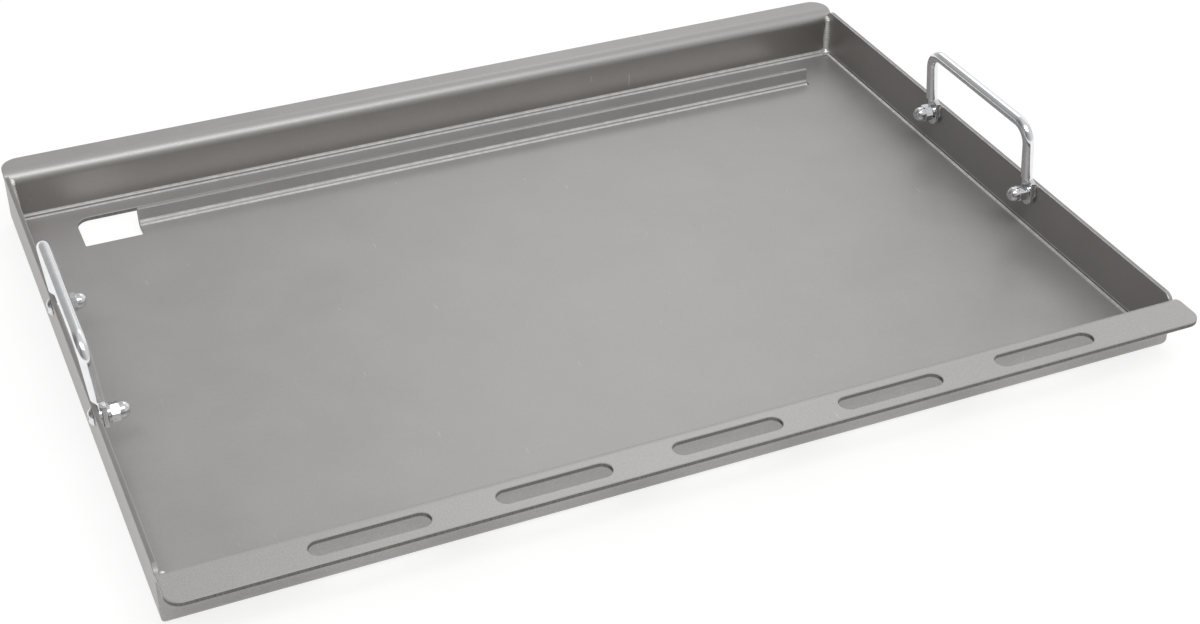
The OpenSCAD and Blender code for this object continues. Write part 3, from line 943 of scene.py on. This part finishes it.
def fastener_tree():
    """One fastener at each of the four places where a handle meets a side wall."""
    tree, given = named_tree("fasteners at the four screws", {
        "Fastener": "Object", "Width": "Float", "Span": "Float", "Middle": "Vector",
        "Seed": "Int", "Material": "Material"})
    places = add(tree, "GeometryNodeMeshGrid",
                 {"Size X": given["Width"], "Size Y": given["Span"], "Vertices X": 2,
                  "Vertices Y": 2})
    one = add(tree, "GeometryNodeObjectInfo", {"Object": given["Fastener"]})
    spot = add(tree, "GeometryNodeInputPosition")
    parts = add(tree, "ShaderNodeSeparateXYZ", {"Vector": spot.outputs[0]})
    right = add(tree, "ShaderNodeMath", {0: parts.outputs["X"], 1: 0.0},
                operation="GREATER_THAN")
    about = add(tree, "ShaderNodeMath", {0: right.outputs[0], 1: math.pi}, operation="MULTIPLY")
    # Each one is left at its own angle by the spanner; sockets 2 and 3 are the limits of a
    # plain number, and output 1 is the number
    turn = add(tree, "FunctionNodeRandomValue",
               {2: 0.0, 3: 2 * math.pi, "Seed": given["Seed"]}, data_type="FLOAT")
    facing = add(tree, "ShaderNodeCombineXYZ", {"X": turn.outputs[1], "Z": about.outputs[0]})
    put = add(tree, "GeometryNodeInstanceOnPoints",
              {"Points": places.outputs["Mesh"], "Instance": one.outputs["Geometry"],
               "Rotation": facing.outputs[0]})
    moved = add(tree, "GeometryNodeTransform",
                {"Geometry": put.outputs[0], "Translation": given["Middle"]})
    return ended(tree, moved.outputs[0], given["Material"])


FASTENERS = (("screw", button_screw), ("washer", flat_washer), ("lock_washer", lock_washer),
             ("nut", acorn_nut))
FASTENER_SEED = 11

four_places = fastener_tree()
for number, (kind, make) in enumerate(FASTENERS):
    one = make()
    piece = grown("handle_" + kind + "s", four_places, {
        "Fastener": one, "Width": 2 * INNER_X * MM, "Span": LEG_SPAN * MM,
        "Middle": Vector((0, HANDLE_Y, SCREW_Z)) * MM, "Seed": FASTENER_SEED + number,
        "Material": PLATED})
    bpy.data.objects.remove(one)
    joined_to_part(piece, "plated_hardware",
                   *(f"{side}_{end}_{kind}" for side in ("left", "right")
                     for end in ("front", "rear")))


# Floor, light and camera, in metres

FLOOR_HALF = 6.0
# The strength of the paper's own light to the camera, and its share; the rest is the light
# that falls on the paper, with the shadow
PAPER_GLOW = 1.12
PAPER_GLOW_SHARE = 0.72

# The tent's level, and each side where it changes: the way that side faces, the shares
# along it at which the change starts and is full, and the change
TENT_LEVEL = 0.72
TENT_SIDES = (((-0.66, 0.72, 0.40), 0.45, 0.95, -0.28),
              ((-0.95, -0.10, 0.30), 0.40, 0.95, -0.28),
              ((-0.45, -1.0, 0.25), 0.60, 0.95, -0.30),
              ((0.75, 0.40, 0.53), 0.84, 0.97, 0.30),
              ((0.25, 1.0, -0.25), 0.60, 0.95, 0.12))

# Each lamp's name, place, size and power in watts
SOFTBOXES = (("front_softbox", (-0.1, -1.2, 1.90), (1.7, 1.0), 13.5),
             ("key_lamp", (-0.75, -0.95, 1.7), (0.35, 0.35), 3.2),
             ("rear_softbox", (0.70, 1.50, 1.50), (0.75, 1.0), 2.6))

# The camera's place in mm, its angles in radians, and its lens and sensor in mm
CAMERA_PLACE = Vector((-403.45, -972.23, 701.52))
CAMERA_YAW = 0.4139
CAMERA_PITCH = 0.6010
CAMERA_ROLL = 0.0031
CAMERA_LENS = 60.43
CAMERA_SENSOR = 36.0


def studio_floor():
    # White paper sweep: full white to the camera and in reflections, with a soft shadow
    material = bpy.data.materials.new("white_studio_paper")
    material.use_nodes = True
    tree = material.node_tree
    tree.nodes.clear()
    rays = add(tree, "ShaderNodeLightPath").outputs
    seen = add(tree, "ShaderNodeMath", {0: rays["Is Camera Ray"], 1: rays["Is Glossy Ray"]},
               operation="MAXIMUM")
    shown_to = add(tree, "ShaderNodeMath",
                   {0: seen.outputs[0], 1: rays["Is Transmission Ray"]}, operation="MAXIMUM")
    paper = add(tree, "ShaderNodeBsdfDiffuse", {"Color": linear("#f4f4f3")})
    glow = add(tree, "ShaderNodeEmission", {"Color": (1, 1, 1, 1), "Strength": PAPER_GLOW})
    white = add(tree, "ShaderNodeMixShader",
                {0: PAPER_GLOW_SHARE, 1: paper.outputs[0], 2: glow.outputs[0]})
    both = add(tree, "ShaderNodeMixShader",
               {0: shown_to.outputs[0], 1: paper.outputs[0], 2: white.outputs[0]})
    add(tree, "ShaderNodeOutputMaterial", {0: both.outputs[0]})
    work = bmesh.new()
    bmesh.ops.create_grid(work, x_segments=1, y_segments=1, size=FLOOR_HALF)
    mesh = mesh_of(work, "studio_floor")
    mesh.materials.append(material)
    floor = shown("studio_floor", mesh)


def studio_sky():
    # A light tent: even overhead, dimmer at the left and in front, where it is open to the
    # room, and brighter at the right and low down behind
    world = bpy.data.worlds.new("light_tent")
    bpy.context.scene.world = world
    world.use_nodes = True
    tree = world.node_tree
    tree.nodes.clear()
    way = add(tree, "ShaderNodeTexCoord").outputs["Generated"]
    level = TENT_LEVEL
    for facing, start, full, change in TENT_SIDES:
        side = add(tree, "ShaderNodeVectorMath",
                   {0: way, 1: Vector(facing).normalized()}, operation="DOT_PRODUCT")
        share = add(tree, "ShaderNodeMapRange",
                    {"Value": side.outputs["Value"], "From Min": start, "From Max": full,
                     "To Min": 0.0, "To Max": change}, interpolation_type="SMOOTHSTEP")
        level = add(tree, "ShaderNodeMath", {0: level, 1: share.outputs[0]}).outputs[0]
    back = add(tree, "ShaderNodeBackground", {"Color": (1, 1, 1, 1), "Strength": level})
    add(tree, "ShaderNodeOutputWorld", {0: back.outputs[0]})


def softbox(name, place, size, power):
    """A rectangular lamp that faces the middle of the part's underside."""
    lamp = bpy.data.lights.new(name, "AREA")
    lamp.shape = "RECTANGLE"
    lamp.size, lamp.size_y = size
    lamp.energy = power
    made = bpy.data.objects.new(name, lamp)
    bpy.context.scene.collection.objects.link(made)
    made.location = place
    made.rotation_euler = (-Vector(place)).to_track_quat("-Z", "Y").to_euler()


def photo_camera():
    """The camera, where the photo was taken from."""
    lens = bpy.data.cameras.new("photo_camera")
    lens.sensor_fit = "HORIZONTAL"
    lens.sensor_width = CAMERA_SENSOR
    lens.lens = CAMERA_LENS
    lens.clip_start = 0.05
    camera = bpy.data.objects.new("photo_camera", lens)
    bpy.context.scene.collection.objects.link(camera)
    camera.location = CAMERA_PLACE * MM
    facing = Euler((math.pi / 2 - CAMERA_PITCH, 0, -CAMERA_YAW)).to_matrix()
    camera.rotation_euler = (facing @ Matrix.Rotation(CAMERA_ROLL, 3, "Z")).to_euler()
    bpy.context.scene.camera = camera


studio_floor()
studio_sky()
for lamp in SOFTBOXES:
    softbox(*lamp)
photo_camera()
bpy.context.scene.view_settings.view_transform = "Standard"
